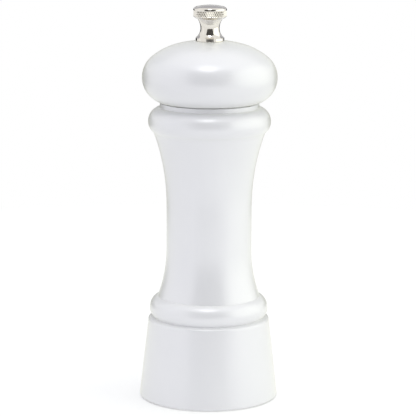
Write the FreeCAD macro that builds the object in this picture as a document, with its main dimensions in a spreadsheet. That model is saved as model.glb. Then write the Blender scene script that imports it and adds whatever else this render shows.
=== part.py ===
import FreeCAD, Part
import math
import os
import Sketcher

# Turned wooden pepper mill: a body and a head that turns on it, with a burr set inside.
# The axis is Z and the foot stands on Z = 0. Sizes are millimetres and degrees.
SIZES = {
    # Turned body, from the foot up
    "foot_d": 53.4,
    "foot_round": 0.6,
    "skirt_h": 31.0,
    "skirt_top_d": 46.8,
    "skirt_round": 1.0,
    "groove_rise": 0.5,
    "low_bead_d": 45.7,
    "low_bead_round": 5.0,
    "low_bead_start": 41.0,
    "low_bead_end": 68.5,
    "low_cove_h": 18.7,
    "waist_d": 32.8,
    "waist_h": 17.0,
    "high_cove_h": 28.1,
    "high_bead_d": 47.0,
    "high_bead_round": 5.5,
    "high_bead_start": 52.5,
    "neck_d": 38.0,
    "neck_h": 2.2,
    "neck_round": 0.4,
    # Bores of the body
    "recess_d": 40.0,
    "recess_h": 17.0,
    "grinder_bore_d": 27.0,
    "grinder_headroom": 0.5,
    "chamber_d": 24.0,
    "mouth_bevel": 0.8,
    # Turned head
    "head_d": 51.7,
    "rim_round": 10.0,
    "rim_sweep": 50.5,
    "shoulder_round": 24.8,
    "shoulder_sweep": 75.1,
    "under_inset": 6.05,
    "under_round": 18.0,
    "under_sweep": 64.7,
    "tenon_h": 12.0,
    "tenon_gap": 0.3,
    "tenon_bevel": 0.8,
    "shaft_bore_d": 9.0,
    # Top nut
    "nut_flange_d": 10.9,
    "nut_flange_h": 1.0,
    "nut_edge": 0.15,
    "nut_flare": 0.15,
    "nut_waist_d": 6.9,
    "nut_low_cove_h": 3.8,
    "nut_high_cove_h": 3.7,
    "nut_collar_d": 9.6,
    "nut_collar_step": 0.25,
    "nut_bevel_h": 0.9,
    "knurl_d": 12.8,
    "knurl_h": 2.1,
    "nut_rim_round": 0.55,
    "nut_dome_round": 11.5,
    "nut_seat_margin": 0.3,
    "nut_cap": 2.2,
    # Shaft
    "shaft_side": 5.6,
    "shaft_end_side": 5.0,
    "shaft_bevel": 0.6,
    "thread_d": 5.0,
    "thread_below": 5.5,
    "thread_short": 1.2,
    "thread_gap": 0.05,
    "stud_d": 4.0,
    "stud_gap": 0.1,
    "stud_proud": 0.5,
    "stud_bevel": 0.4,
    # Drive plate under the tenon
    "plate_inset": 2.0,
    "plate_t": 1.5,
    "plate_round": 0.4,
    "plate_gap": 0.15,
    "plate_screw_span": 14.0,
    "plate_screw_d": 2.2,
    "plate_screw_h": 7.5,
    "plate_screw_head_d": 3.8,
    "plate_screw_head_h": 1.2,
    # Burr set
    "male_d": 20.0,
    "male_h": 17.5,
    "male_top_d": 12.4,
    "male_proud": 1.4,
    "male_fit": 0.05,
    "band_h": 5.0,
    "band_slope": 22.0,
    "burr_gap": 0.3,
    "flange_gap": 0.6,
    "flange_t": 1.6,
    "sleeve_h": 12.0,
    "sleeve_fit": 0.1,
    "sleeve_wall": 2.3,
    "fine_depth": 0.6,
    "fine_half": 0.72,
    "fine_twist": 12.0,
    "male_fine_teeth": 30,
    "female_fine_teeth": 36,
    "flute_depth": 1.7,
    "flute_half": 1.7,
    "flute_twist": 38.0,
    "male_flutes": 8,
    "female_flute_depth": 1.2,
    "female_flutes": 10,
    "cutter_over": 0.8,
    # Crossbar under the burrs
    "bar_w": 10.0,
    "bar_t": 1.4,
    "bar_end_gap": 0.5,
    "bar_end_round": 4.5,
    "bar_drop": 9.4,
    "bar_leg_gap": 4.3,
    "bar_leg_run": 3.5,
    "bar_bend": 0.8,
    "bar_boss_d": 9.0,
    "bar_boss_h": 0.8,
    "bar_screw_share": 0.47,
    "bar_screw_d": 2.9,
    "bar_screw_h": 11.0,
    "bar_screw_head_d": 5.0,
    "bar_screw_head_h": 1.8,
    "screw_gap": 0.15,
    "screw_tip": 2.0,
    # Spring and retaining ring
    "wire_d": 1.2,
    "coil_d": 11.0,
    "coil_turns": 3.5,
    "coil_grind": 0.3,
    "ring_d": 9.0,
    "ring_t": 0.8,
    "ring_fit": 0.02,
    "ring_groove": 0.4,
    "ring_mouth": 2.8,
    "ring_notch_d": 1.9,
    "ring_notch_span": 5.0,
    "ring_notch_turn": 40.0,
}

# Steps round a circle
FULL_TURN = 360
BIARCS_PER_TURN = 4
MARKS_PER_TURN = 64

doc = FreeCAD.newDocument("pepper_mill")
sheet = doc.addObject("Spreadsheet::Sheet", "mill")
for row, (name, value) in enumerate(SIZES.items(), start=1):
    sheet.set(f"A{row}", name)
    sheet.set(f"B{row}", str(value))
    sheet.setAlias(f"B{row}", name)
doc.recompute()

# Heights and radii worked out from the sizes, written as expressions on the sheet

# Outside of the body
groove_z = "(mill.skirt_h + mill.groove_rise)"
low_bead_x = "(mill.low_bead_d/2 - mill.low_bead_round)"
low_bead_z = f"({groove_z} + mill.low_bead_round*sin(mill.low_bead_start))"
low_corner_x = f"({low_bead_x} + mill.low_bead_round*cos(mill.low_bead_end))"
low_corner_z = f"({low_bead_z} + mill.low_bead_round*sin(mill.low_bead_end))"
waist_low_z = f"({low_corner_z} + mill.low_cove_h)"
waist_high_z = f"({waist_low_z} + mill.waist_h)"
high_corner_z = f"({waist_high_z} + mill.high_cove_h)"
high_bead_x = "(mill.high_bead_d/2 - mill.high_bead_round)"
high_corner_x = f"({high_bead_x} + mill.high_bead_round*cos(mill.high_bead_start))"
high_bead_z = f"({high_corner_z} + mill.high_bead_round*sin(mill.high_bead_start))"
neck_z = f"({high_bead_z} + sqrt(mill.high_bead_round^2 - (mill.neck_d/2 - {high_bead_x})^2))"
seam_z = f"({neck_z} + mill.neck_h)"

# Outside of the head: an underside arc, a rim arc, a shoulder arc and a crown arc centred on the axis
rim_x = "(mill.head_d/2 - mill.rim_round)"
under_x = f"({rim_x} - (mill.under_round - mill.rim_round)*cos(mill.under_sweep))"
under_r = "(mill.head_d/2 - mill.under_inset)"
rim_z = (
    f"({seam_z} + sqrt(mill.under_round^2 - ({under_r} - {under_x})^2)"
    " - (mill.under_round - mill.rim_round)*sin(mill.under_sweep))"
)
shoulder_x = f"({rim_x} - (mill.shoulder_round - mill.rim_round)*cos(mill.rim_sweep))"
shoulder_z = f"({rim_z} - (mill.shoulder_round - mill.rim_round)*sin(mill.rim_sweep))"
crown_round = f"(mill.shoulder_round + {shoulder_x}/cos(mill.shoulder_sweep))"
crown_z = f"({shoulder_z} - ({crown_round} - mill.shoulder_round)*sin(mill.shoulder_sweep))"
seat_r = "(mill.nut_flange_d/2 + mill.nut_seat_margin)"
seat_z = f"({crown_z} + sqrt({crown_round}^2 - {seat_r}^2))"
tenon_z = f"({seam_z} - mill.tenon_h)"
tenon_r = "(mill.chamber_d/2 - mill.tenon_gap)"

# Top nut, above its seat on the head
nut_waist_z = f"({seat_z} + mill.nut_flange_h + mill.nut_low_cove_h)"
nut_collar_z = f"({nut_waist_z} + mill.nut_high_cove_h)"
knurl_z = f"({nut_collar_z} + mill.nut_bevel_h)"
nut_rim_z = f"({knurl_z} + mill.knurl_h)"
dome_edge_r = "(mill.knurl_d/2 - mill.nut_rim_round)"
dome_edge_z = f"({nut_rim_z} + mill.nut_rim_round)"
dome_top_z = f"({dome_edge_z} + mill.nut_dome_round - sqrt(mill.nut_dome_round^2 - {dome_edge_r}^2))"
nut_bore_z = f"({dome_top_z} - mill.nut_cap)"
nut_bore_r = "(mill.thread_d/2 + mill.thread_gap)"

# Burr set, crossbar and shaft, from the recess down and up
flange_z = "(mill.recess_h - mill.flange_t)"
sleeve_top_z = "(mill.recess_h + mill.sleeve_h)"
sleeve_r = "(mill.grinder_bore_d/2 - mill.sleeve_fit)"
male_z = f"({flange_z} - mill.male_proud)"
band_top_z = f"({male_z} + mill.band_h)"
band_top_r = "(mill.male_d/2 - mill.band_h*tan(mill.band_slope))"
male_top_z = f"({male_z} + mill.male_h)"
throat_r = f"({band_top_r} + mill.burr_gap)"
outlet_r = f"({throat_r} + ({band_top_z} - {flange_z})*tan(mill.band_slope))"
hopper_r = f"({sleeve_r} - mill.sleeve_wall)"
bar_seat_z = f"({flange_z} - mill.bar_drop)"
bar_low_z = f"({bar_seat_z} - mill.bar_t)"
ring_z = f"({male_z} - mill.ring_t)"
shaft_top_z = f"({seat_z} - mill.thread_below)"
thread_top_z = f"({nut_bore_z} - mill.thread_short)"
plate_z = f"({tenon_z} - mill.plate_t)"
plate_r = f"({tenon_r} - mill.plate_inset)"
plate_pilot_z = f"({plate_z} + mill.plate_screw_h + mill.screw_tip)"
bar_screw_x = "(mill.grinder_bore_d/2 + mill.bar_screw_share*(mill.recess_d - mill.grinder_bore_d)/2)"
bar_leg_x = f"({bar_screw_x} - mill.bar_leg_gap)"
bar_seat_x = f"({bar_leg_x} - mill.bar_leg_run)"
bar_screw_z = f"({flange_z} - mill.bar_t)"
bar_pilot_z = f"({bar_screw_z} + mill.bar_screw_h + mill.screw_tip)"


def size(expression):
    return float(sheet.evalExpression(expression))


def origin_feature(body, role):
    return next(feature for feature in body.Origin.OriginFeatures if feature.Role == role)


def new_body(name):
    body = doc.addObject("PartDesign::Body", name)
    body.Label = name
    return body


def new_sketch(body, name, role="XZ_Plane", lift="0", turn="0"):
    # A lift moves the sketch along its plane's normal and a turn spins it on that normal
    sketch = body.newObject("Sketcher::SketchObject", name)
    sketch.AttachmentSupport = [(origin_feature(body, role), "")]
    sketch.MapMode = "FlatFace"
    normal = FreeCAD.Vector(0, 0, 1)
    sketch.AttachmentOffset = FreeCAD.Placement(normal * size(lift), FreeCAD.Rotation(normal, size(turn)))
    if lift != "0":
        sketch.setExpression("AttachmentOffset.Base.z", lift)
    if turn != "0":
        sketch.setExpression("AttachmentOffset.Rotation.Angle", turn)
    return sketch


def bind(sketch, constraint, expression):
    number = sketch.addConstraint(constraint)
    sketch.setExpression(f"Constraints[{number}]", expression)


def place_point(sketch, point, x, y):
    for kind, axis, expression in (("DistanceX", -2, x), ("DistanceY", -1, y)):
        value = size(expression)
        if expression == "0":
            sketch.addConstraint(Sketcher.Constraint("PointOnObject", *point, axis))
        elif value > 0:
            bind(sketch, Sketcher.Constraint(kind, -1, 1, *point, value), expression)
        else:
            bind(sketch, Sketcher.Constraint(kind, *point, -1, 1, -value), f"-({expression})")


def arc_between(start, end, radius, turn):
    # The smaller arc that leaves start turning left (1) or right (-1)
    chord = end - start
    left = FreeCAD.Vector(-chord.y, chord.x, 0).normalize()
    reach = math.sqrt(radius**2 - (chord.Length / 2) ** 2)
    centre = (start + end) / 2 + left * (turn * reach)
    first, last = (start, end) if turn > 0 else (end, start)
    angles = [math.atan2(point.y - centre.y, point.x - centre.x) for point in (first, last)]
    circle = Part.Circle(centre, FreeCAD.Vector(0, 0, 1), radius)
    return Part.ArcOfCircle(circle, *angles)


def draw_outline(sketch, corners):
    # A corner is (x, y), or (x, y, radius, turn) where an arc leads to the next corner
    points = [FreeCAD.Vector(size(corner[0]), size(corner[1]), 0) for corner in corners]
    starts = []
    ends = []
    for index, corner in enumerate(corners):
        start = points[index]
        end = points[(index + 1) % len(points)]
        clockwise = len(corner) > 2 and corner[3] < 0
        if len(corner) > 2:
            geometry = arc_between(start, end, size(corner[2]), corner[3])
        else:
            geometry = Part.LineSegment(start, end)
        number = sketch.addGeometry(geometry, False)
        starts.append((number, 2 if clockwise else 1))
        ends.append((number, 1 if clockwise else 2))
    for index, corner in enumerate(corners):
        sketch.addConstraint(Sketcher.Constraint("Coincident", *ends[index - 1], *starts[index]))
        place_point(sketch, starts[index], corner[0], corner[1])
        if len(corner) > 2:
            bind(sketch, Sketcher.Constraint("Radius", starts[index][0], size(corner[2])), corner[2])


def draw_circle(sketch, x, y, diameter):
    centre = FreeCAD.Vector(size(x), size(y), 0)
    circle = Part.Circle(centre, FreeCAD.Vector(0, 0, 1), size(diameter) / 2)
    number = sketch.addGeometry(circle, False)
    if x == "0" and y == "0":
        sketch.addConstraint(Sketcher.Constraint("Coincident", number, 3, -1, 1))
    else:
        place_point(sketch, (number, 3), x, y)
    bind(sketch, Sketcher.Constraint("Diameter", number, size(diameter)), diameter)


def square_corners(side):
    half = f"(({side})/2)"
    return [(half, half), (f"-{half}", half), (f"-{half}", f"-{half}"), (half, f"-{half}")]


def turn_profile(body, name, corners, kind="PartDesign::Revolution"):
    sketch = new_sketch(body, f"{name}_profile")
    draw_outline(sketch, corners)
    feature = body.newObject(kind, name)
    feature.Profile = sketch
    feature.ReferenceAxis = (sketch, ["V_Axis"])
    feature.Angle = FULL_TURN
    return feature


def raise_pad(body, name, sketch, length):
    pad = body.newObject("PartDesign::Pad", name)
    pad.Profile = sketch
    pad.setExpression("Length", length)
    return pad


def cut_through(body, name, sketch):
    pocket = body.newObject("PartDesign::Pocket", name)
    pocket.Profile = sketch
    pocket.Type = "ThroughAll"
    pocket.Midplane = True
    return pocket


def cut_up(body, name, sketch, depth):
    pocket = body.newObject("PartDesign::Pocket", name)
    pocket.Profile = sketch
    pocket.Reversed = True
    pocket.setExpression("Length", depth)
    return pocket


def repeat_round(body, name, feature, count):
    pattern = body.newObject("PartDesign::PolarPattern", name)
    pattern.Originals = [feature]
    pattern.Axis = (origin_feature(body, "Z_Axis"), [""])
    pattern.Angle = FULL_TURN
    pattern.setExpression("Occurrences", count)
    body.Tip = pattern
    return pattern


def cut_teeth(body, name, low, high, count):
    # Each end is (height, turn, root radius, mouth radius, half width at the mouth) of one vee groove
    sections = []
    for label, (height, turn, root, mouth, half) in (("low", low), ("high", high)):
        sketch = new_sketch(body, f"{name}_{label}", "XY_Plane", height, turn)
        draw_outline(sketch, [(root, "0"), (mouth, half), (mouth, f"-({half})")])
        sections.append(sketch)
    groove = body.newObject("PartDesign::SubtractiveLoft", name)
    groove.Profile = sections[0]
    groove.Sections = sections[1:]
    groove.Ruled = True
    return repeat_round(body, f"{name}_round", groove, count)


def edges_of(shape, wanted):
    return [f"Edge{number}" for number, edge in enumerate(shape.Edges, start=1) if wanted(edge)]


def make_body():
    body = new_body("mill_body")
    foot_r = "mill.foot_d/2"
    skirt_top_r = "mill.skirt_top_d/2"
    waist_r = "mill.waist_d/2"
    neck_r = "mill.neck_d/2"
    low_step = f"({low_corner_x} - {waist_r})"
    high_step = f"({high_corner_x} - {waist_r})"
    low_cove = f"(mill.low_cove_h^2 + {low_step}^2)/(2*{low_step})"
    high_cove = f"(mill.high_cove_h^2 + {high_step}^2)/(2*{high_step})"
    groove_x = f"({low_bead_x} + mill.low_bead_round*cos(mill.low_bead_start))"
    bore_top_z = f"({sleeve_top_z} + mill.grinder_headroom)"
    turn_profile(body, "turned_form", [
        ("mill.recess_d/2", "0"),
        (f"{foot_r} - mill.foot_round", "0", "mill.foot_round", 1),
        (foot_r, "mill.foot_round"),
        (skirt_top_r, "mill.skirt_h - mill.skirt_round", "mill.skirt_round", 1),
        (f"{skirt_top_r} - mill.skirt_round", "mill.skirt_h"),
        (groove_x, groove_z, "mill.low_bead_round", 1),
        (low_corner_x, low_corner_z, low_cove, -1),
        (waist_r, waist_low_z),
        (waist_r, waist_high_z, high_cove, -1),
        (high_corner_x, high_corner_z, "mill.high_bead_round", 1),
        (neck_r, neck_z),
        (neck_r, f"{seam_z} - mill.neck_round", "mill.neck_round", 1),
        (f"{neck_r} - mill.neck_round", seam_z),
        ("mill.chamber_d/2 + mill.mouth_bevel", seam_z),
        ("mill.chamber_d/2", f"{seam_z} - mill.mouth_bevel"),
        ("mill.chamber_d/2", bore_top_z),
        ("mill.grinder_bore_d/2", bore_top_z),
        ("mill.grinder_bore_d/2", "mill.recess_h"),
        ("mill.recess_d/2", "mill.recess_h"),
    ])
    pilots = new_sketch(body, "pilot_places", "XY_Plane", "mill.recess_h")
    for side in ("", "-"):
        draw_circle(pilots, f"{side}{bar_screw_x}", "0", "mill.bar_screw_d + 2*mill.screw_gap")
    cut_up(body, "pilot_holes", pilots, f"{bar_pilot_z} - mill.recess_h")
    return body


def make_head():
    body = new_body("mill_head")
    bore_r = "mill.shaft_bore_d/2"
    turn_profile(body, "turned_form", [
        (bore_r, tenon_z),
        (f"{tenon_r} - mill.tenon_bevel", tenon_z),
        (tenon_r, f"{tenon_z} + mill.tenon_bevel"),
        (tenon_r, seam_z),
        (under_r, seam_z, "mill.under_round", 1),
        (
            f"{rim_x} + mill.rim_round*cos(mill.under_sweep)",
            f"{rim_z} - mill.rim_round*sin(mill.under_sweep)",
            "mill.rim_round", 1,
        ),
        (
            f"{rim_x} + mill.rim_round*cos(mill.rim_sweep)",
            f"{rim_z} + mill.rim_round*sin(mill.rim_sweep)",
            "mill.shoulder_round", 1,
        ),
        (
            f"{shoulder_x} + mill.shoulder_round*cos(mill.shoulder_sweep)",
            f"{shoulder_z} + mill.shoulder_round*sin(mill.shoulder_sweep)",
            crown_round, 1,
        ),
        (seat_r, seat_z),
        (bore_r, seat_z),
    ])
    pilots = new_sketch(body, "pilot_places", "XY_Plane", tenon_z)
    for side in ("", "-"):
        draw_circle(pilots, f"{side}mill.plate_screw_span/2", "0", "mill.plate_screw_d + 2*mill.screw_gap")
    cut_up(body, "pilot_holes", pilots, f"{plate_pilot_z} - {tenon_z}")
    return body


def make_nut():
    body = new_body("top_nut")
    flange_r = "mill.nut_flange_d/2"
    flare_r = f"({flange_r} - mill.nut_flare)"
    waist_r = "mill.nut_waist_d/2"
    collar_r = "mill.nut_collar_d/2"
    low_step = f"({flare_r} - {waist_r})"
    high_step = f"({collar_r} - {waist_r})"
    turn_profile(body, "turned_form", [
        (nut_bore_r, seat_z),
        (f"{flange_r} - mill.nut_edge", seat_z),
        (flange_r, f"{seat_z} + mill.nut_edge"),
        (flange_r, f"{seat_z} + mill.nut_flange_h - mill.nut_edge"),
        (
            flare_r, f"{seat_z} + mill.nut_flange_h",
            f"(mill.nut_low_cove_h^2 + {low_step}^2)/(2*{low_step})", -1,
        ),
        (waist_r, nut_waist_z, f"(mill.nut_high_cove_h^2 + {high_step}^2)/(2*{high_step})", -1),
        (collar_r, nut_collar_z),
        (f"{collar_r} + mill.nut_collar_step", nut_collar_z),
        ("mill.knurl_d/2", knurl_z),
        ("mill.knurl_d/2", nut_rim_z, "mill.nut_rim_round", 1),
        (dome_edge_r, dome_edge_z, "mill.nut_dome_round", 1),
        ("0", dome_top_z),
        ("0", nut_bore_z),
        (nut_bore_r, nut_bore_z),
    ])
    return body


def make_shaft():
    body = new_body("shaft")
    main = new_sketch(body, "square_section", "XY_Plane", male_top_z)
    draw_outline(main, square_corners("mill.shaft_side"))
    square = raise_pad(body, "square_length", main, f"{shaft_top_z} - {male_top_z}")
    doc.recompute()
    level = size(f"{shaft_top_z} - mill.shaft_bevel")
    bevel = body.newObject("PartDesign::Chamfer", "square_bevel")
    bevel.Base = (square, edges_of(square.Shape, lambda edge: edge.BoundBox.ZMin > level))
    bevel.setExpression("Size", "mill.shaft_bevel")
    end = new_sketch(body, "burr_section", "XY_Plane", male_z)
    draw_outline(end, square_corners("mill.shaft_end_side"))
    raise_pad(body, "burr_length", end, f"{male_top_z} - {male_z}")
    stud_r = "mill.stud_d/2"
    stud_end_z = f"({bar_low_z} - mill.stud_proud)"
    groove_r = f"({stud_r} - mill.ring_groove)"
    turn_profile(body, "guide_stud", [
        ("0", male_z),
        ("0", stud_end_z),
        (f"{stud_r} - mill.stud_bevel", stud_end_z),
        (stud_r, f"{stud_end_z} + mill.stud_bevel"),
        (stud_r, ring_z),
        (groove_r, ring_z),
        (groove_r, male_z),
    ])
    thread_r = "mill.thread_d/2"
    turn_profile(body, "threaded_end", [
        ("0", shaft_top_z),
        (thread_r, shaft_top_z),
        (thread_r, f"{thread_top_z} - mill.shaft_bevel"),
        (f"{thread_r} - mill.shaft_bevel", thread_top_z),
        ("0", thread_top_z),
    ])
    return body


def make_male_grinder():
    body = new_body("male_grinder")
    top_r = "mill.male_top_d/2"
    turn_profile(body, "turned_form", [
        ("0", male_z),
        ("mill.male_d/2", male_z),
        (band_top_r, band_top_z),
        (top_r, male_top_z),
        ("0", male_top_z),
    ])
    over = "mill.cutter_over"
    foot_r = f"(mill.male_d/2 + {over}*tan(mill.band_slope))"
    run_out_r = f"({band_top_r} - {over}*tan(mill.band_slope))"
    cut_teeth(
        body, "flute",
        (band_top_z, "0", f"{band_top_r} + mill.burr_gap", f"{band_top_r} + 2*{over}", "mill.flute_half"),
        (
            f"{male_top_z} + {over}", "mill.flute_twist",
            f"{top_r} - mill.flute_depth", f"{top_r} + {over}", "mill.flute_half",
        ),
        "mill.male_flutes",
    )
    cut_teeth(
        body, "fine_tooth",
        (f"{male_z} - {over}", "0", f"{foot_r} - mill.fine_depth", f"{foot_r} + {over}", "mill.fine_half"),
        (
            f"{band_top_z} + {over}", "mill.fine_twist",
            f"{run_out_r} - mill.fine_depth", f"{run_out_r} + 2*{over}", "mill.fine_half",
        ),
        "mill.male_fine_teeth",
    )
    hole = new_sketch(body, "square_hole", "XY_Plane", male_z)
    draw_outline(hole, square_corners("mill.shaft_end_side + 2*mill.male_fit"))
    cut_through(body, "shaft_hole", hole)
    return body


def make_female_grinder():
    body = new_body("female_grinder")
    turn_profile(body, "turned_form", [
        (outlet_r, flange_z),
        ("mill.recess_d/2 - mill.flange_gap", flange_z),
        ("mill.recess_d/2 - mill.flange_gap", "mill.recess_h"),
        (sleeve_r, "mill.recess_h"),
        (sleeve_r, sleeve_top_z),
        (hopper_r, sleeve_top_z),
        (throat_r, band_top_z),
    ])
    over = "mill.cutter_over"
    below_r = f"({outlet_r} + {over}*tan(mill.band_slope))"
    above_r = f"({throat_r} - {over}*tan(mill.band_slope))"
    cut_teeth(
        body, "flute",
        (band_top_z, "0", f"{throat_r} - mill.burr_gap", f"{throat_r} - 2*{over}", "mill.flute_half"),
        (
            f"{sleeve_top_z} + {over}", "-mill.flute_twist/2",
            f"{hopper_r} + mill.female_flute_depth", f"{hopper_r} - {over}", "mill.flute_half",
        ),
        "mill.female_flutes",
    )
    cut_teeth(
        body, "fine_tooth",
        (f"{flange_z} - {over}", "0", f"{below_r} + mill.fine_depth", f"{below_r} - {over}", "mill.fine_half"),
        (
            f"{band_top_z} + {over}", "-mill.fine_twist",
            f"{above_r} + mill.fine_depth", f"{above_r} - {over}", "mill.fine_half",
        ),
        "mill.female_fine_teeth",
    )
    holes = new_sketch(body, "screw_places", "XY_Plane", flange_z)
    for side in ("", "-"):
        draw_circle(holes, f"{side}{bar_screw_x}", "0", "mill.bar_screw_d + 2*mill.screw_gap")
    cut_up(body, "screw_holes", holes, "mill.flange_t")
    return body


def make_crossbar():
    body = new_body("crossbar")
    end_x = "(mill.recess_d/2 - mill.bar_end_gap)"
    leg_turn = "atan2(mill.bar_drop; mill.bar_leg_run)"
    mitre = f"(mill.bar_t*tan({leg_turn}/2))"
    upper = [
        (end_x, flange_z),
        (bar_leg_x, flange_z),
        (bar_seat_x, bar_seat_z),
    ]
    lower = [
        (f"({bar_seat_x} + {mitre})", bar_low_z),
        (f"({bar_leg_x} + {mitre})", bar_screw_z),
        (end_x, bar_screw_z),
    ]
    left_upper = [(f"-{x}", z) for x, z in reversed(upper)]
    left_lower = [(f"-{x}", z) for x, z in reversed(lower)]
    side_view = new_sketch(body, "side_view")
    draw_outline(side_view, upper + left_upper + left_lower + lower)
    strip = raise_pad(body, "bent_strip", side_view, "mill.bar_w")
    strip.Midplane = True
    doc.recompute()
    across = size("mill.bar_w/2")
    end = size(end_x)
    bends = body.newObject("PartDesign::Fillet", "bends")
    bends.Base = (strip, edges_of(strip.Shape, lambda edge: (
        edge.BoundBox.YLength > across and abs(edge.BoundBox.Center.x) < end - across / 2
    )))
    bends.setExpression("Radius", "mill.bar_bend")
    doc.recompute()
    corners = body.newObject("PartDesign::Fillet", "rounded_ends")
    corners.Base = (bends, edges_of(bends.Shape, lambda edge: (
        edge.BoundBox.YLength < across and edge.BoundBox.ZLength > 0
        and abs(edge.BoundBox.Center.x) > end - across / 2
    )))
    corners.setExpression("Radius", "mill.bar_end_round")
    boss = new_sketch(body, "boss_place", "XY_Plane", bar_seat_z)
    draw_circle(boss, "0", "0", "mill.bar_boss_d")
    raise_pad(body, "spring_boss", boss, "mill.bar_boss_h")
    holes = new_sketch(body, "hole_places", "XY_Plane", bar_seat_z)
    draw_circle(holes, "0", "0", "mill.stud_d + 2*mill.stud_gap")
    for side in ("", "-"):
        draw_circle(holes, f"{side}{bar_screw_x}", "0", "mill.bar_screw_d + 2*mill.screw_gap")
    cut_through(body, "holes", holes)
    return body


def make_drive_plate():
    body = new_body("drive_plate")
    turn_profile(body, "pressed_disc", [
        ("0", plate_z),
        (f"{plate_r} - mill.plate_round", plate_z, "mill.plate_round", 1),
        (plate_r, f"{plate_z} + mill.plate_round"),
        (plate_r, tenon_z),
        ("0", tenon_z),
    ])
    hole = new_sketch(body, "square_place", "XY_Plane", plate_z)
    draw_outline(hole, square_corners("mill.shaft_side + 2*mill.plate_gap"))
    cut_through(body, "square_hole", hole)
    holes = new_sketch(body, "screw_places", "XY_Plane", plate_z)
    for side in ("", "-"):
        draw_circle(holes, f"{side}mill.plate_screw_span/2", "0", "mill.plate_screw_d + 2*mill.screw_gap")
    cut_through(body, "screw_holes", holes)
    return body


def make_screw_pair(name, kind, seat, reach):
    # Two round-headed wood screws that point up from one flat seat, each at its reach from the axis
    shank_r = f"(mill.{kind}_d/2)"
    head_r = f"(mill.{kind}_head_d/2)"
    head_h = f"mill.{kind}_head_h"
    tip_z = f"({seat} + mill.{kind}_h)"
    dome = f"({head_r}^2 + {head_h}^2)/(2*{head_h})"
    screws = []
    for side, sign in (("right", ""), ("left", "-")):
        body = new_body(f"{name}_{side}")
        turn_profile(body, "turned_form", [
            ("0", tip_z),
            ("0", f"{seat} - {head_h}", dome, 1),
            (head_r, seat),
            (shank_r, seat),
            (shank_r, f"{tip_z} - mill.screw_tip"),
        ])
        body.setExpression("Placement.Base.x", f"{sign}{reach}")
        screws.append(body)
    pair = doc.addObject("Part::Compound", name)
    pair.Label = name
    pair.Links = screws
    return pair


def make_retaining_ring():
    body = new_body("retaining_ring")
    groove_d = "(mill.stud_d - 2*mill.ring_groove)"
    disc = new_sketch(body, "disc", "XY_Plane", ring_z)
    draw_circle(disc, "0", "0", "mill.ring_d")
    draw_circle(disc, "0", "0", f"{groove_d} + 2*mill.ring_fit")
    raise_pad(body, "flat_ring", disc, "mill.ring_t")
    mouth = new_sketch(body, "mouth_place", "XY_Plane", ring_z)
    half = "(mill.ring_mouth/2)"
    draw_outline(mouth, [(half, "0"), (half, "mill.ring_d"), (f"-{half}", "mill.ring_d"), (f"-{half}", "0")])
    cut_through(body, "mouth", mouth)
    notches = new_sketch(body, "notch_places", "XY_Plane", ring_z)
    for side in ("", "-"):
        draw_circle(
            notches,
            f"{side}mill.ring_notch_span/2*cos(mill.ring_notch_turn)",
            "-mill.ring_notch_span/2*sin(mill.ring_notch_turn)",
            "mill.ring_notch_d",
        )
    cut_through(body, "notches", notches)
    return body


def coil_point(turns, radius, base, pitch):
    angle = 2 * math.pi * turns
    return FreeCAD.Vector(radius * math.cos(angle), radius * math.sin(angle), base + pitch * turns)


def coil_direction(turns, radius, pitch):
    angle = 2 * math.pi * turns
    sweep = 2 * math.pi * radius
    return FreeCAD.Vector(-sweep * math.sin(angle), sweep * math.cos(angle), pitch).normalize()


def arc_along(start, direction, end):
    # The arc that leaves start along direction and passes through end
    chord = end - start
    aside = (direction - chord * (direction.dot(chord) / chord.dot(chord))).normalize()
    bow = chord.Length / 2 * math.tan(direction.getAngle(chord) / 2)
    return Part.Arc(start, (start + end) / 2 + aside * bow, end)


def biarc(start, start_way, end, end_way):
    # Two arcs that meet smoothly between two points with given directions
    span = end - start
    both = start_way + end_way
    open_share = 2 * (1 - start_way.dot(end_way))
    along = span.dot(both)
    reach = (math.sqrt(along**2 + open_share * span.dot(span)) - along) / open_share
    joint = (start + end + (start_way - end_way) * reach) / 2
    joint_way = (joint - start - start_way * reach).normalize()
    return arc_along(start, start_way, joint), arc_along(joint, joint_way, end)


def make_spring():
    # A ground-ended compression spring that stands on the crossbar and carries the male burr
    wire = size("mill.wire_d")
    radius = size("mill.coil_d/2")
    turns = size("mill.coil_turns")
    grind = size("mill.coil_grind")
    low = size(bar_seat_z)
    high = size(male_z)
    base = low + grind
    pitch = (high - low - 2 * grind) / turns
    steps = round(turns * BIARCS_PER_TURN)
    marks = [turns * step / steps for step in range(steps + 1)]
    edges = []
    for first, last in zip(marks, marks[1:]):
        pair = biarc(
            coil_point(first, radius, base, pitch), coil_direction(first, radius, pitch),
            coil_point(last, radius, base, pitch), coil_direction(last, radius, pitch),
        )
        edges.extend(arc.toShape() for arc in pair)
    path = Part.Wire(edges)
    start = coil_point(0, radius, base, pitch)
    section = Part.Wire(Part.makeCircle(wire / 2, start, coil_direction(0, radius, pitch)))
    tube = path.makePipeShell([section], True, False)
    keep = Part.makeCylinder(radius + wire, high - low, FreeCAD.Vector(0, 0, low))
    ground = tube.common(keep)
    points = path.discretize(Number=round(turns * MARKS_PER_TURN))
    clear = min(
        (first - last).Length
        for index, first in enumerate(points)
        for last in points[index + MARKS_PER_TURN // 2:]
    ) - wire
    print(f"spring: {turns} turns, pitch {pitch:.2f} mm, least gap to itself {clear:.2f} mm")
    spring = doc.addObject("Part::Feature", "grinder_spring")
    spring.Label = "grinder_spring"
    spring.Shape = ground.Solids[0]
    return spring


pieces = [
    make_body(),
    make_head(),
    make_nut(),
    make_shaft(),
    make_male_grinder(),
    make_female_grinder(),
    make_spring(),
    make_retaining_ring(),
    make_crossbar(),
    make_screw_pair("crossbar_screws", "bar_screw", bar_screw_z, bar_screw_x),
    make_drive_plate(),
    make_screw_pair("drive_plate_screws", "plate_screw", plate_z, "(mill.plate_screw_span/2)"),
]
doc.recompute()

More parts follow.
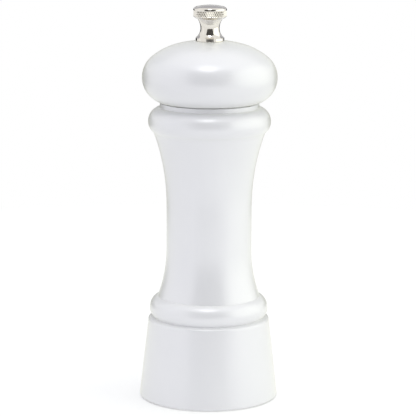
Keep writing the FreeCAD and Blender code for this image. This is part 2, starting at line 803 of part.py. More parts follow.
for item in doc.Objects:
    if "Invalid" in item.State or "Error" in item.State:
        raise RuntimeError(f"{item.Label} failed: {item.State}")
for piece in pieces:
    if piece.Shape.isNull() or not piece.Shape.isValid():
        raise RuntimeError(f"{piece.Label} has no valid shape")

os.makedirs("parts", exist_ok=True)
for piece in pieces:
    piece.Shape.exportStep(f"parts/{piece.Label}.step")
    box = piece.Shape.optimalBoundingBox(False, False)
    print(f"{piece.Label}: {len(piece.Shape.Solids)} solid, z {box.ZMin:.2f} to {box.ZMax:.2f} mm")
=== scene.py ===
import bpy
import math
from mathutils import Matrix, Vector


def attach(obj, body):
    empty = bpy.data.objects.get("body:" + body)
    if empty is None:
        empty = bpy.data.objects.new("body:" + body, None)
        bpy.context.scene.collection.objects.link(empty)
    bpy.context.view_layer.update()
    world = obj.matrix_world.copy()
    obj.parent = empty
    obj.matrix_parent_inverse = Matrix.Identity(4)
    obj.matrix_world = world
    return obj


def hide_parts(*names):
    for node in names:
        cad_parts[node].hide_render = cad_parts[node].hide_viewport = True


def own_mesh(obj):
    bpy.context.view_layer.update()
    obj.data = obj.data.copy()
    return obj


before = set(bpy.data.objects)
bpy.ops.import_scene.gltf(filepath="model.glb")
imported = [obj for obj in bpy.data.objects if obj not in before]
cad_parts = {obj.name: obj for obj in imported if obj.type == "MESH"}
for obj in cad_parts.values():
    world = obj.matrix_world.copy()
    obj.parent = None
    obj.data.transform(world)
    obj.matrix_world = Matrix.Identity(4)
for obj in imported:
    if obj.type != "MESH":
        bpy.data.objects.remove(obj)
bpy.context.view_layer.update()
scene = bpy.context.scene
scene.view_settings.view_transform = "Standard"
mm = 0.001
fullTurn = 2 * math.pi
print("frame loaded, nodes:", len(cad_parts))


# colour and node helpers

def hexToLinear(code):
    # sRGB hex to the linear RGBA that shader sockets take
    channels = [int(code[i:i + 2], 16) / 255 for i in (1, 3, 5)]
    return [c / 12.92 if c <= 0.04045 else ((c + 0.055) / 1.055) ** 2.4 for c in channels] + [1.0]


def addNode(tree, kind, settings=None, inputs=None):
    # one node with its settings, fixed values and links
    node = tree.nodes.new(kind)
    for key, value in (settings or {}).items():
        setattr(node, key, value)
    for key, value in (inputs or {}).items():
        if isinstance(value, bpy.types.NodeSocket):
            tree.links.new(value, node.inputs[key])
        else:
            node.inputs[key].default_value = value
    return node


def newMaterial(name):
    material = bpy.data.materials.new(name)
    material.use_nodes = True
    material.node_tree.nodes.clear()
    return material, material.node_tree


def finishMaterial(tree, shader):
    addNode(tree, "ShaderNodeOutputMaterial", inputs={"Surface": shader.outputs[0]})


# materials

pearl = {
    "colour": "#EEEEF2",
    "deepColour": "#E9E9EE",
    "edgeColour": "#ECEFA8",   # mica turns warm at a slant
    "cloudMm": 18.0,           # slow drift of the sprayed pearl
    "flakeMm": 0.6,            # mica is about 0.05 mm, drawn coarser so that it shows
    "peelMm": 2.2,             # spray texture of the lacquer
    "peelDepthMm": 0.2,
    "peelStrength": 0.02,
    "roughness": 0.36,
    "sparkle": 0.05,           # how far a flake's roughness strays
    "metallic": 0.15,          # the glint of the mica
    "coat": 0.3,
    "coatRoughness": 0.22,
    "sheen": 0.25,
    "sheenRoughness": 0.5,
}


def pearlLacquer():
    # sprayed pearl lacquer on turned hardwood: a soft broad sheen with a faint mica sparkle
    material, tree = newMaterial("pearl lacquer sprayed on turned wood")
    place = addNode(tree, "ShaderNodeTexCoord").outputs["Object"]
    cloud = addNode(tree, "ShaderNodeTexNoise", inputs={
        "Vector": place, "Scale": 1 / (pearl["cloudMm"] * mm), "Detail": 2.0})
    flake = addNode(tree, "ShaderNodeTexVoronoi", inputs={
        "Vector": place, "Scale": 1 / (pearl["flakeMm"] * mm)})
    peel = addNode(tree, "ShaderNodeTexNoise", inputs={
        "Vector": place, "Scale": 1 / (pearl["peelMm"] * mm), "Detail": 3.0})
    tint = addNode(tree, "ShaderNodeMix", {"data_type": "RGBA"}, {
        0: cloud.outputs["Fac"], 6: hexToLinear(pearl["deepColour"]), 7: hexToLinear(pearl["colour"])})
    sparkle = addNode(tree, "ShaderNodeMapRange", inputs={
        "Value": flake.outputs["Color"], "To Min": pearl["roughness"] - pearl["sparkle"],
        "To Max": pearl["roughness"] + pearl["sparkle"]})
    bump = addNode(tree, "ShaderNodeBump", inputs={
        "Height": peel.outputs["Fac"], "Strength": pearl["peelStrength"],
        "Distance": pearl["peelDepthMm"] * mm})
    shader = addNode(tree, "ShaderNodeBsdfPrincipled", inputs={
        "Base Color": tint.outputs[2], "Roughness": sparkle.outputs["Result"],
        "Normal": bump.outputs["Normal"], "Metallic": pearl["metallic"], "IOR": 1.5,
        "Coat Weight": pearl["coat"], "Coat Roughness": pearl["coatRoughness"],
        "Sheen Weight": pearl["sheen"], "Sheen Roughness": pearl["sheenRoughness"],
        "Sheen Tint": hexToLinear(pearl["edgeColour"])})
    finishMaterial(tree, shader)
    return material


maple = {"colour": "#DCC39E", "grainColour": "#BF9F74", "ringMm": 2.4, "fibreMm": 0.35, "fibreStretch": 0.08,
         "fibreDepthMm": 0.1, "fibreStrength": 0.25, "roughness": 0.68}


def bareMaple():
    # bored hard maple, unfinished: pale with fine growth rings and end grain fibres
    material, tree = newMaterial("bare maple bored and sanded")
    place = addNode(tree, "ShaderNodeTexCoord").outputs["Object"]
    waveLength = fullTurn / 20  # of the wave texture at scale 1
    rings = addNode(tree, "ShaderNodeTexWave", {"wave_type": "BANDS", "bands_direction": "X"}, {
        "Vector": place, "Scale": waveLength / (maple["ringMm"] * mm), "Distortion": 2.5, "Detail": 2.0,
        "Detail Scale": 0.25})
    stretch = addNode(tree, "ShaderNodeMapping", inputs={
        "Vector": place, "Scale": (1.0, 1.0, maple["fibreStretch"])})
    fibres = addNode(tree, "ShaderNodeTexNoise", inputs={
        "Vector": stretch.outputs["Vector"], "Scale": 1 / (maple["fibreMm"] * mm), "Detail": 4.0})
    both = addNode(tree, "ShaderNodeMath", {"operation": "MULTIPLY"}, {
        0: rings.outputs["Fac"], 1: fibres.outputs["Fac"]})
    tint = addNode(tree, "ShaderNodeMix", {"data_type": "RGBA"}, {
        0: both.outputs[0], 6: hexToLinear(maple["colour"]), 7: hexToLinear(maple["grainColour"])})
    bump = addNode(tree, "ShaderNodeBump", inputs={
        "Height": fibres.outputs["Fac"], "Strength": maple["fibreStrength"],
        "Distance": maple["fibreDepthMm"] * mm})
    shader = addNode(tree, "ShaderNodeBsdfPrincipled", inputs={
        "Base Color": tint.outputs[2], "Roughness": maple["roughness"], "IOR": 1.52,
        "Normal": bump.outputs["Normal"]})
    finishMaterial(tree, shader)
    return material


grainDepthMm = 0.1  # of every metal's bump, at its full strength


def metal(name, look):
    # a metal whose gloss and tint drift with a fine grain of the given size
    material, tree = newMaterial(name)
    place = addNode(tree, "ShaderNodeTexCoord").outputs["Object"]
    mapped = addNode(tree, "ShaderNodeMapping", inputs={
        "Vector": place, "Scale": (1.0, 1.0, look["stretch"])})
    grain = addNode(tree, "ShaderNodeTexNoise", inputs={
        "Vector": mapped.outputs["Vector"], "Scale": 1 / (look["grainMm"] * mm), "Detail": 5.0})
    tint = addNode(tree, "ShaderNodeMix", {"data_type": "RGBA"}, {
        0: grain.outputs["Fac"], 6: hexToLinear(look["colour"]), 7: hexToLinear(look["grainColour"])})
    gloss = addNode(tree, "ShaderNodeMapRange", inputs={
        "Value": grain.outputs["Fac"], "To Min": look["roughness"] - look["haze"],
        "To Max": look["roughness"] + look["haze"]})
    bump = addNode(tree, "ShaderNodeBump", inputs={
        "Height": grain.outputs["Fac"], "Strength": look["bump"], "Distance": grainDepthMm * mm})
    shader = addNode(tree, "ShaderNodeBsdfPrincipled", inputs={
        "Base Color": tint.outputs[2], "Metallic": 1.0, "Roughness": gloss.outputs["Result"],
        "Normal": bump.outputs["Normal"]})
    finishMaterial(tree, shader)
    return material


# buffed nickel plate: a warm mirror with a trace of polishing haze
nickelPlate = {"colour": "#E6E2DA", "grainColour": "#DEDAD2", "roughness": 0.09, "haze": 0.03, "grainMm": 0.8,
               "bump": 0.01, "stretch": 1.0}
# drawn bar: long fine die lines along its length
drawnBar = {"colour": "#C9CACC", "grainColour": "#B7B9BC", "roughness": 0.28, "haze": 0.08, "grainMm": 0.3,
            "bump": 0.08, "stretch": 0.03}
# pressed and sintered powder: dark, dull and slightly pitted
pressedPowder = {"colour": "#6B6B6E", "grainColour": "#565659", "roughness": 0.46, "haze": 0.1,
                 "grainMm": 0.35, "bump": 0.35, "stretch": 1.0}
# bright zinc on pressed sheet: pale, a little cloudy with a cool cast
zincPlate = {"colour": "#C6CAD0", "grainColour": "#B2B7BF", "roughness": 0.3, "haze": 0.08, "grainMm": 1.6,
             "bump": 0.05, "stretch": 1.0}
# drawn spring wire: bright grey with a light oil haze
springWire = {"colour": "#A9ABAE", "grainColour": "#95979B", "roughness": 0.25, "haze": 0.06, "grainMm": 0.4,
              "bump": 0.06, "stretch": 1.0}

lacquer = pearlLacquer()
bareWood = bareMaple()
nickel = metal("polished nickel plate", nickelPlate)
aluminium = metal("drawn aluminium bar", drawnBar)
sintered = metal("sintered steel", pressedPowder)
zinc = metal("bright zinc plated steel", zincPlate)
springSteel = metal("drawn spring steel wire", springWire)
print("materials made")


# mesh helpers, all in mm

turning = {"sides": 192, "arcError": 0.004, "holdRow": 0.3, "sharpAngle": 32.0}


def arcTo(start, end, radius, turn):
    # points after start along the arc that turns left (1) or right (-1), end included
    a, b = Vector(start), Vector(end)
    chord = b - a
    left = Vector((-chord.y, chord.x)).normalized()
    centre = (a + b) / 2 + left * turn * math.sqrt(max(radius ** 2 - chord.length_squared / 4, 0))
    first, last = a - centre, b - centre
    sweep = -first.angle_signed(last)
    steps = math.ceil(abs(sweep) / (2 * math.acos(1 - turning["arcError"] / radius)))
    points = []
    for k in range(1, steps):
        spoke = Matrix.Rotation(sweep * k / steps, 2) @ first
        points.append((centre.x + spoke.x, centre.y + spoke.y))
    return points + [tuple(end)]


def coveTo(start, end):
    # the hollow arc between two points that is upright at the one nearer the axis
    step, rise = abs(end[0] - start[0]), abs(end[1] - start[1])
    return arcTo(start, end, (rise ** 2 + step ** 2) / (2 * step), -1)


def straightTo(start, end):
    # a straight side with a holding row near each end, which keeps its shading flat
    a, b = Vector(start), Vector(end)
    hold = (b - a).normalized() * turning["holdRow"]
    return [tuple(a + hold), tuple(b - hold), tuple(end)]


def skin(rings, closed=False, slots=None):
    # faces between rings of equal count, where a ring of one vertex is a point
    verts, rows, faces, faceSlots = [], [], [], []
    for ring in rings:
        rows.append(range(len(verts), len(verts) + len(ring)))
        verts += ring
    count = max(len(ring) for ring in rings)
    pairs = list(zip(rows, rows[1:])) + ([(rows[-1], rows[0])] if closed else [])
    for number, (a, b) in enumerate(pairs):
        for k in range(count if len(a) + len(b) > 2 else 0):
            n = (k + 1) % count
            low = (a[k], a[n]) if len(a) > 1 else (a[0],)
            high = (b[n], b[k]) if len(b) > 1 else (b[0],)
            faces.append(low + high)
            faceSlots.append(slots[number] if slots else 0)
    if not closed:
        for ring in (tuple(reversed(rows[0])), tuple(rows[-1])):
            if len(ring) > 1:
                faces.append(ring)
                faceSlots.append(0)
    return verts, faces, faceSlots


def spin(profile, sides, closed=True, slots=None, shift=None, at=0.0):
    # turns (radius, height) points about an upright axis at x
    rings = []
    for row, (r, z) in enumerate(profile):
        ring = []
        for k in range(sides if r > 0 else 1):
            angle = fullTurn * k / sides
            out, up = shift(row, r, z, angle) if shift else (0.0, 0.0)
            ring.append((at + (r + out) * math.cos(angle), (r + out) * math.sin(angle), z + up))
        rings.append(ring)
    return skin(rings, closed, slots)


def meshObject(name, skins, materials, sharpAngle=turning["sharpAngle"]):
    # one mesh in metres from skins in mm
    verts, faces, faceSlots = [], [], []
    for skinVerts, skinFaces, skinSlots in skins:
        faces += [tuple(len(verts) + index for index in face) for face in skinFaces]
        verts += [tuple(value * mm for value in vert) for vert in skinVerts]
        faceSlots += skinSlots
    mesh = bpy.data.meshes.new(name)
    mesh.from_pydata(verts, [], faces)
    for material in materials:
        mesh.materials.append(material)
    mesh.polygons.foreach_set("material_index", faceSlots)
    mesh.shade_smooth()
    mesh.set_sharp_from_angle(angle=math.radians(sharpAngle))
    mesh.update()
    piece = bpy.data.objects.new(name, mesh)
    scene.collection.objects.link(piece)
    return piece


def fitPiece(piece, bodyName, node):
    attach(piece, bodyName)
    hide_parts(node)


# camera: a long lens a little above the mill, tipped down

camera = {
    "distance": 0.842, "height": 0.23318, "aside": -0.00043,  # metres
    "tip": 10.73, "roll": 0.28,                               # degrees
    "focalPx": 2223.6, "imagePx": 416, "sensor": 36.0,        # pixels, and the sensor in mm
}


def setCamera():
    data = bpy.data.cameras.new("camera")
    data.sensor_width = camera["sensor"]
    data.lens = camera["focalPx"] / camera["imagePx"] * camera["sensor"]
    eye = bpy.data.objects.new("camera", data)
    place = Matrix.Translation((camera["aside"], -camera["distance"], camera["height"]))
    tip = Matrix.Rotation(math.radians(90 - camera["tip"]), 4, "X")
    eye.matrix_world = place @ tip @ Matrix.Rotation(math.radians(camera["roll"]), 4, "Z")
    scene.collection.objects.link(eye)
    scene.camera = eye


setCamera()


# turned body, radii and heights in mm

body = {
    "footR": 26.7, "footRound": 0.6, "skirtH": 31.0, "skirtTopR": 23.4, "skirtRound": 1.0,
    "grooveZ": 31.5, "lowBeadR": 22.85, "lowBeadRound": 5.0, "lowBeadStart": 41.0, "lowBeadEnd": 68.5,
    "lowCoveH": 18.7, "waistR": 16.4, "waistH": 17.0, "highCoveH": 28.1,
    "highBeadR": 23.5, "highBeadRound": 5.5, "highBeadStart": 52.5, "neckR": 19.0, "neckH": 2.2,
    "seamH": 0.5, "seamDepth": 1.6, "seamEdge": 0.12,
    "recessR": 20.0, "recessH": 17.0, "grinderR": 13.5, "grinderTopZ": 29.5, "chamberR": 12.0,
    "mouthBevel": 0.8,
}


def buildBody():
    d = body
    beadX = d["lowBeadR"] - d["lowBeadRound"]
    startTurn, endTurn = math.radians(d["lowBeadStart"]), math.radians(d["lowBeadEnd"])
    beadZ = d["grooveZ"] + d["lowBeadRound"] * math.sin(startTurn)
    groove = (beadX + d["lowBeadRound"] * math.cos(startTurn), d["grooveZ"])
    lowCorner = (beadX + d["lowBeadRound"] * math.cos(endTurn), beadZ + d["lowBeadRound"] * math.sin(endTurn))
    waistLow = (d["waistR"], lowCorner[1] + d["lowCoveH"])
    waistHigh = (d["waistR"], waistLow[1] + d["waistH"])
    highX = d["highBeadR"] - d["highBeadRound"]
    highTurn = math.radians(d["highBeadStart"])
    highCorner = (highX + d["highBeadRound"] * math.cos(highTurn), waistHigh[1] + d["highCoveH"])
    highZ = highCorner[1] + d["highBeadRound"] * math.sin(highTurn)
    neck = (d["neckR"], highZ + math.sqrt(d["highBeadRound"] ** 2 - (d["neckR"] - highX) ** 2))
    seamZ = neck[1] + d["neckH"]
    foot = (d["footR"] - d["footRound"], 0.0)
    footTop = (d["footR"], d["footRound"])
    skirt = (d["skirtTopR"], d["skirtH"] - d["skirtRound"])
    skirtEdge = (d["skirtTopR"] - d["skirtRound"], d["skirtH"])
    neckTop = (d["neckR"], seamZ - d["seamH"] - d["seamEdge"])
    neckEdge = (d["neckR"] - d["seamEdge"], seamZ - d["seamH"])
    seamR = d["neckR"] - d["seamDepth"]  # the shadow gap under the head
    outside = [foot] + arcTo(foot, footTop, d["footRound"], 1)
    outside += straightTo(footTop, skirt)
    outside += arcTo(skirt, skirtEdge, d["skirtRound"], 1) + [groove]
    outside += arcTo(groove, lowCorner, d["lowBeadRound"], 1)
    outside += coveTo(lowCorner, waistLow)
    outside += straightTo(waistLow, waistHigh)
    outside += coveTo(waistHigh, highCorner)
    outside += arcTo(highCorner, neck, d["highBeadRound"], 1)
    outside += [neckTop] + arcTo(neckTop, neckEdge, d["seamEdge"], 1)
    outside += [(seamR, neckEdge[1]), (seamR, seamZ)]
    inside = [
        (d["chamberR"] + d["mouthBevel"], seamZ), (d["chamberR"], seamZ - d["mouthBevel"]),
        (d["chamberR"], d["grinderTopZ"]), (d["grinderR"], d["grinderTopZ"]), (d["grinderR"], d["recessH"]),
        (d["recessR"], d["recessH"]), (d["recessR"], 0.0),
    ]
    # lacquer outside, on the rim of the mouth and under the foot, bare wood within
    slots = [0] * len(outside) + [0] + [1] * (len(inside) - 2) + [0]
    form = spin(outside + inside, turning["sides"], slots=slots)
    piece = meshObject("turned_body", [form], [lacquer, bareWood])
    fitPiece(piece, "base", "mill_body")
    return seamZ


seamZ = buildBody()
print("body turned, seam at", round(seamZ, 2), "mm")


# turned head

head = {
    "headR": 25.85, "rimRound": 10.0, "rimSweep": 50.5, "shoulderRound": 24.8, "shoulderSweep": 75.1,
    "underR": 19.8, "underRound": 18.0, "underSweep": 64.7, "tenonH": 12.0, "tenonR": 11.7, "tenonBevel": 0.8,
    "boreR": 4.5, "seatR": 5.75,
}


def onArc(x, z, radius, angle):
    return x + radius * math.cos(angle), z + radius * math.sin(angle)


def buildHead():
    d = head
    rimTurn, shoulderTurn, underTurn = (
        math.radians(d[key]) for key in ("rimSweep", "shoulderSweep", "underSweep"))
    rimX = d["headR"] - d["rimRound"]
    underX = rimX - (d["underRound"] - d["rimRound"]) * math.cos(underTurn)
    rimZ = seamZ + math.sqrt(d["underRound"] ** 2 - (d["underR"] - underX) ** 2)
    rimZ -= (d["underRound"] - d["rimRound"]) * math.sin(underTurn)
    shoulderX, shoulderZ = onArc(rimX, rimZ, d["rimRound"] - d["shoulderRound"], rimTurn)
    crownRound = d["shoulderRound"] + shoulderX / math.cos(shoulderTurn)
    crownZ = shoulderZ - (crownRound - d["shoulderRound"]) * math.sin(shoulderTurn)
    seatZ = crownZ + math.sqrt(crownRound ** 2 - d["seatR"] ** 2)
    under = (d["underR"], seamZ)
    rimLow = onArc(rimX, rimZ, d["rimRound"], -underTurn)
    rimHigh = onArc(rimX, rimZ, d["rimRound"], rimTurn)
    crownEdge = onArc(shoulderX, shoulderZ, d["shoulderRound"], shoulderTurn)
    tenonZ = seamZ - d["tenonH"]
    tenon = [(d["boreR"], tenonZ), (d["tenonR"] - d["tenonBevel"], tenonZ),
             (d["tenonR"], tenonZ + d["tenonBevel"]), (d["tenonR"], seamZ)]
    outside = [under] + arcTo(under, rimLow, d["underRound"], 1)
    outside += arcTo(rimLow, rimHigh, d["rimRound"], 1)
    outside += arcTo(rimHigh, crownEdge, d["shoulderRound"], 1)
    outside += arcTo(crownEdge, (d["seatR"], seatZ), crownRound, 1)
    # bare tenon and bore, lacquer from the flat under the head to the nut's seat
    slots = [1] * (len(tenon) - 1) + [0] * (len(outside) + 1) + [1]
    form = spin(tenon + outside + [(d["boreR"], seatZ)], turning["sides"], slots=slots)
    piece = meshObject("turned_head", [form], [lacquer, bareWood])
    fitPiece(piece, "head", "mill_head")
    return seatZ


seatZ = buildHead()
print("head turned, nut seat at", round(seatZ, 2), "mm")


# knurled nut

nut = {
    "flangeR": 5.45, "flangeH": 1.35, "edge": 0.15, "flare": 0.15, "waistR": 3.62, "lowCoveH": 3.45,
    "highCoveH": 3.7, "collarR": 4.8, "collarStep": 0.25, "bevelH": 0.9, "knurlR": 6.4, "knurlH": 2.4,
    "rimRound": 1.2, "domeRound": 21.3, "cap": 2.2, "boreR": 2.55,
    "knurlCount": 52, "knurlRows": 3, "knurlDepth": 0.28, "knurlSteps": 8, "knurlFade": 3,
}


def buildNut():
    d = nut
    flare = (d["flangeR"] - d["flare"], seatZ + d["flangeH"])
    waist = (d["waistR"], flare[1] + d["lowCoveH"])
    collar = (d["collarR"], waist[1] + d["highCoveH"])
    knurlZ = collar[1] + d["bevelH"]
    rim = (d["knurlR"], knurlZ + d["knurlH"])
    domeEdge = (d["knurlR"] - d["rimRound"], rim[1] + d["rimRound"])
    domeTop = (0.0, domeEdge[1] + d["domeRound"] - math.sqrt(d["domeRound"] ** 2 - domeEdge[0] ** 2))
    below = [(d["boreR"], seatZ), (d["flangeR"] - d["edge"], seatZ), (d["flangeR"], seatZ + d["edge"]),
             (d["flangeR"], flare[1] - d["edge"]), flare]
    below += coveTo(flare, waist) + coveTo(waist, collar)
    below += [(d["collarR"] + d["collarStep"], collar[1])]
    steps = d["knurlRows"] * d["knurlSteps"]
    band = [(d["knurlR"], knurlZ + d["knurlH"] * k / steps) for k in range(steps + 1)]
    above = arcTo(rim, domeEdge, d["rimRound"], 1) + arcTo(domeEdge, domeTop, d["domeRound"], 1)
    bore = [(0.0, domeTop[1] - d["cap"]), (d["boreR"], domeTop[1] - d["cap"])]
    first, last = len(below), len(below) + steps

    def knurl(row, r, z, angle):
        # pyramids between two crossing sets of vee grooves, fading out at the band's edges
        if not first <= row <= last:
            return 0.0, 0.0
        around = angle / fullTurn * d["knurlCount"]
        up = (z - knurlZ) / d["knurlH"] * d["knurlRows"]
        ridges = [1 - abs(2 * ((around + way * up) % 1) - 1) for way in (0.5, -0.5)]
        fade = min(1.0, (row - first) / d["knurlFade"], (last - row) / d["knurlFade"])
        return d["knurlDepth"] * (min(ridges) - 1) * fade, 0.0

    form = spin(below + band + above + bore, d["knurlCount"] * d["knurlSteps"], shift=knurl)
    fitPiece(meshObject("knurled_nut", [form], [nickel]), "nut", "top_nut")


buildNut()
print("nut knurled")


# grinder spring: round wire with ends ground flat

spring = {"wireR": 0.6, "coilR": 5.5, "turns": 3.5, "grind": 0.3, "lowZ": 6.0, "highZ": 14.0,
          "wireSides": 20, "stepsPerTurn": 60, "sharpAngle": 50.0, "squashKeep": 0.8}


def buildSpring():
    d = spring
    rise = d["highZ"] - d["lowZ"] - 2 * d["grind"]
    steps = round(d["turns"] * d["stepsPerTurn"])
    lean = math.atan2(rise / d["turns"], fullTurn * d["coilR"])
    rings = []
    for step in range(steps + 1):
        turn = fullTurn * d["turns"] * step / steps
        z = d["lowZ"] + d["grind"] + rise * step / steps
        ring = []
        for k in range(d["wireSides"]):
            way = -fullTurn * k / d["wireSides"]
            out, up = d["wireR"] * math.cos(way), d["wireR"] * math.sin(way)
            back = up * math.sin(lean)  # tips the wire's section square to the coil
            x = (d["coilR"] + out) * math.cos(turn) + back * math.sin(turn)
            y = (d["coilR"] + out) * math.sin(turn) - back * math.cos(turn)
            ring.append((x, y, min(max(z + up * math.cos(lean), d["lowZ"]), d["highZ"])))
        rings.append(ring)
    piece = meshObject("coil_spring", [skin(rings)], [springSteel], d["sharpAngle"])
    fitPiece(piece, "spring", "grinder_spring")
    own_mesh(piece)


buildSpring()
print("spring wound")


# shaft: square bar, threaded top, plain stud below

shaft = {
    "side": 5.6, "endSide": 5.0, "cornerR": 0.35, "cornerSteps": 5, "bevel": 0.6, "burrZ": 14.0,
    "squareZ": 31.5, "topZ": 132.78, "threadR": 2.5, "threadDepth": 0.42, "threadPitch": 0.8,
    "threadTopZ": 148.53, "threadSides": 48, "rowsPerPitch": 8, "studR": 2.0, "studZ": 4.1, "studBevel": 0.4,
    "studSides": 64, "ringZ": 13.2, "ringGroove": 0.4,
}


def squareRing(side, z):
    ring = []
    cornerR, steps = shaft["cornerR"], shaft["cornerSteps"]
    reach = (side / 2 - cornerR) * math.sqrt(2)
    for corner in range(4):
        towards = fullTurn * (corner + 0.5) / 4
        for k in range(steps + 1):
            angle = fullTurn * (corner + k / steps) / 4
            ring.append((reach * math.cos(towards) + cornerR * math.cos(angle),
                         reach * math.sin(towards) + cornerR * math.sin(angle), z))
    return ring


def threadShift(first, last, depth, pitch, fadeRows):
    # a vee thread between two rows of a turned profile, fading in and out over its ends
    def shift(row, r, z, angle):
        if not first <= row <= last:
            return 0.0, 0.0
        ridge = abs(2 * ((z / pitch - angle / fullTurn) % 1) - 1)
        return -depth * ridge * min(1.0, (row - first) / fadeRows, (last - row) / fadeRows), 0.0
    return shift


def buildShaft():
    d = shaft
    bar = skin([squareRing(d["side"], d["squareZ"]), squareRing(d["side"], d["topZ"] - d["bevel"]),
                squareRing(d["side"] - 2 * d["bevel"], d["topZ"])])
    burrEnd = skin([squareRing(d["endSide"], d["burrZ"]), squareRing(d["endSide"], d["squareZ"])])
    threadH = d["threadTopZ"] - d["bevel"] - d["topZ"]
    rows = round(threadH / d["threadPitch"] * d["rowsPerPitch"])
    screw = [(0.0, d["topZ"])] + [(d["threadR"], d["topZ"] + threadH * row / rows) for row in range(rows + 1)]
    screw += [(d["threadR"] - d["bevel"], d["threadTopZ"]), (0.0, d["threadTopZ"])]
    cut = threadShift(1, rows + 1, d["threadDepth"], d["threadPitch"], d["rowsPerPitch"])
    thread = spin(screw, d["threadSides"], closed=False, shift=cut)
    neckR = d["studR"] - d["ringGroove"]
    stud = spin([(0.0, d["studZ"]), (d["studR"] - d["studBevel"], d["studZ"]),
                 (d["studR"], d["studZ"] + d["studBevel"]), (d["studR"], d["ringZ"]), (neckR, d["ringZ"]),
                 (neckR, d["burrZ"]), (0.0, d["burrZ"])], d["studSides"], closed=False)
    piece = meshObject("square_shaft", [bar, burrEnd, thread, stud], [aluminium])
    fitPiece(piece, "spindle", "shaft")


buildShaft()
print("shaft drawn and threaded")


# cross recessed wood screws, heads down

crossbarScrews = {
    "node": "crossbar_screws", "body": "base", "x": 16.555, "seatZ": 14.0, "headR": 2.5, "headH": 1.8,
    "shankR": 1.45, "length": 11.0, "tip": 2.0, "threadDepth": 0.35, "threadPitch": 1.2,
    "crossW": 0.85, "crossL": 2.9, "crossDepth": 0.95,
}
plateScrews = {
    "node": "drive_plate_screws", "body": "head", "x": 7.0, "seatZ": 101.7, "headR": 1.9, "headH": 1.2,
    "shankR": 1.1, "length": 7.5, "tip": 2.0, "threadDepth": 0.28, "threadPitch": 0.9,
    "crossW": 0.6, "crossL": 2.1, "crossDepth": 0.6,
}
screwMesh = {"sides": 64, "headRows": 20, "rowsPerPitch": 6, "crossSlope": 0.15}


def buildScrews(d):
    headRows, rowsPerPitch = screwMesh["headRows"], screwMesh["rowsPerPitch"]
    domeR = (d["headR"] ** 2 + d["headH"] ** 2) / (2 * d["headH"])
    domeZ = d["seatZ"] - d["headH"] + domeR
    dome = [(0.0, d["seatZ"] - d["headH"])]
    for row in range(1, headRows + 1):
        r = d["headR"] * row / headRows
        dome.append((r, domeZ - math.sqrt(domeR ** 2 - r ** 2)))
    threadH = d["length"] - d["tip"]
    rows = round(threadH / d["threadPitch"] * rowsPerPitch)
    shank = [(d["shankR"], d["seatZ"] + threadH * row / rows) for row in range(rows + 1)]
    point = (0.0, d["seatZ"] + d["length"])
    thread = threadShift(headRows + 1, headRows + 1 + rows, d["threadDepth"], d["threadPitch"], rowsPerPitch)

    def shape(row, r, z, angle):
        # a sloped cross pressed into the dome, then the thread
        if row > headRows:
            return thread(row, r, z, angle)
        across, along = sorted((abs(r * math.cos(angle)), abs(r * math.sin(angle))))
        inside = min(d["crossW"] / 2 - across, d["crossL"] / 2 - along)
        return 0.0, d["crossDepth"] * min(max(inside / screwMesh["crossSlope"], 0.0), 1.0)

    forms = [spin(dome + shank + [point], screwMesh["sides"], closed=False, shift=shape, at=side * d["x"])
             for side in (1, -1)]
    piece = meshObject(d["node"] + "_cross_recessed", forms, [zinc])
    fitPiece(piece, d["body"], d["node"])


buildScrews(crossbarScrews)
buildScrews(plateScrews)
print("screws made")


# burrs, strip, plate and ring keep their CAD shapes

keptNodes = {"male_grinder": sintered, "female_grinder": sintered, "retaining_ring": springSteel,
             "crossbar": zinc, "drive_plate": zinc}
for node, material in keptNodes.items():
    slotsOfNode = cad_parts[node].data.materials
    slotsOfNode.clear()
    slotsOfNode.append(material)
print("burrs and pressings finished")


# studio

studio = {"floorR": 400.0, "floorHoleR": 25.8, "floorDrop": 0.2, "floorSides": 96, "floorColour": "#F4F4F4",
          "floorGlow": 0.12, "roomColour": "#ECEDEF", "roomStrength": 0.88}
aim = Vector((0, 0, 0.08))  # the mill's middle, where cards and lamps point


def seenRays(tree):
    # rays from the eye, and those that gloss or glass passes on
    rays = addNode(tree, "ShaderNodeLightPath").outputs
    mirrored = addNode(tree, "ShaderNodeMath", {"operation": "MAXIMUM"}, {
        0: rays["Is Glossy Ray"], 1: rays["Is Transmission Ray"]})
    return addNode(tree, "ShaderNodeMath", {"operation": "MAXIMUM"}, {
        0: rays["Is Camera Ray"], 1: mirrored.outputs[0]}).outputs[0]


def buildFloor():
    # matt white paper with a hole inside the foot ring, so that light reaches the grinder from below
    count = studio["floorSides"]
    turns = [fullTurn * k / count for k in range(count)]
    rings = [(r * math.cos(angle), r * math.sin(angle), -studio["floorDrop"])
             for r in (studio["floorHoleR"], studio["floorR"]) for angle in turns]
    faces = [(k, count + k, count + (k + 1) % count, (k + 1) % count) for k in range(count)]
    material, tree = newMaterial("white paper sweep")
    side = addNode(tree, "ShaderNodeNewGeometry")
    paper = addNode(tree, "ShaderNodeBsdfDiffuse", inputs={"Color": hexToLinear(studio["floorColour"])})
    glow = addNode(tree, "ShaderNodeEmission", inputs={
        "Color": (1, 1, 1, 1), "Strength": studio["floorGlow"]})
    lit = addNode(tree, "ShaderNodeAddShader", inputs={0: paper.outputs[0], 1: glow.outputs[0]})
    seen = addNode(tree, "ShaderNodeMixShader", inputs={
        0: seenRays(tree), 1: paper.outputs[0], 2: lit.outputs[0]})
    clear = addNode(tree, "ShaderNodeBsdfTransparent")
    oneSided = addNode(tree, "ShaderNodeMixShader", inputs={
        0: side.outputs["Backfacing"], 1: seen.outputs[0], 2: clear.outputs[0]})
    finishMaterial(tree, oneSided)
    meshObject("floor", [(rings, faces, [0] * count)], [material])


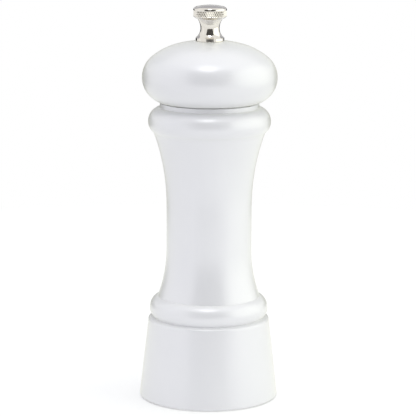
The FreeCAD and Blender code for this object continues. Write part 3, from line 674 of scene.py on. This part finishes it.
def buildWorld():
    # a pale room lights the mill, and the eye and the gloss meet a white backdrop
    world = bpy.data.worlds.new("studio")
    world.use_nodes = True
    tree = world.node_tree
    tree.nodes.clear()
    room = addNode(tree, "ShaderNodeBackground", inputs={
        "Color": hexToLinear(studio["roomColour"]), "Strength": studio["roomStrength"]})
    white = addNode(tree, "ShaderNodeBackground", inputs={"Color": (1, 1, 1, 1), "Strength": 1.0})
    mixed = addNode(tree, "ShaderNodeMixShader", inputs={
        0: seenRays(tree), 1: room.outputs[0], 2: white.outputs[0]})
    addNode(tree, "ShaderNodeOutputWorld", inputs={"Surface": mixed.outputs[0]})
    scene.world = world


cards = {
    # place, width and height in metres, and colour
    "frontCard": ((0.0, -1.34, 0.78), 2.2, 2.0, "#5E5C5A"),
    "lowBackCard": ((-0.1, 1.3, 0.0), 2.8, 0.6, "#1C1C1C"),
    "highBackCard": ((0.0, 1.2, 0.85), 2.4, 0.9, "#CFCFD6"),
}


def addCards():
    # grey cards that only gloss shows, for the dark bands and edges of the nut
    for name, (place, width, height, colour) in cards.items():
        x, y = width / 2 / mm, height / 2 / mm
        material, tree = newMaterial("grey card")
        finishMaterial(tree, addNode(tree, "ShaderNodeBsdfDiffuse", inputs={"Color": hexToLinear(colour)}))
        sheet = ([(-x, -y, 0), (x, -y, 0), (x, y, 0), (-x, y, 0)], [(0, 1, 2, 3)], [0])
        card = meshObject(name, [sheet], [material])
        card.location = place
        card.rotation_euler = (aim - Vector(place)).to_track_quat("Z", "Y").to_euler()
        card.visible_camera = card.visible_diffuse = card.visible_shadow = False


softboxes = {
    # place, width and height in metres, watts, colour, and whether gloss shows the lamp
    "overhead": ((-0.04, -0.4, 1.0), 0.28, 0.28, 1.4, "#FFFFFF", True),
    "ceiling": ((0.0, 0.3, 1.6), 1.6, 1.6, 4.6, "#FFFFFF", False),
    "rightKey": ((0.95, -0.12, 0.4), 1.4, 1.1, 3.2, "#F8FDE4", True),
    "leftFill": ((-1.0, -0.05, 0.35), 0.3, 0.9, 0.1, "#F1F0FA", True),
}


def addLamps():
    # soft boxes, of which gloss leaves out the ceiling to keep the head's highlight narrow
    for name, (place, width, height, watts, colour, inGloss) in softboxes.items():
        data = bpy.data.lights.new(name, "AREA")
        data.shape, data.size, data.size_y = "RECTANGLE", width, height
        data.energy = watts
        data.color = hexToLinear(colour)[:3]
        lamp = bpy.data.objects.new(name, data)
        lamp.location = place
        lamp.rotation_euler = (aim - Vector(place)).to_track_quat("-Z", "Y").to_euler()
        lamp.visible_glossy = inGloss
        scene.collection.objects.link(lamp)


buildFloor()
buildWorld()
addCards()
addLamps()
print("studio lit")
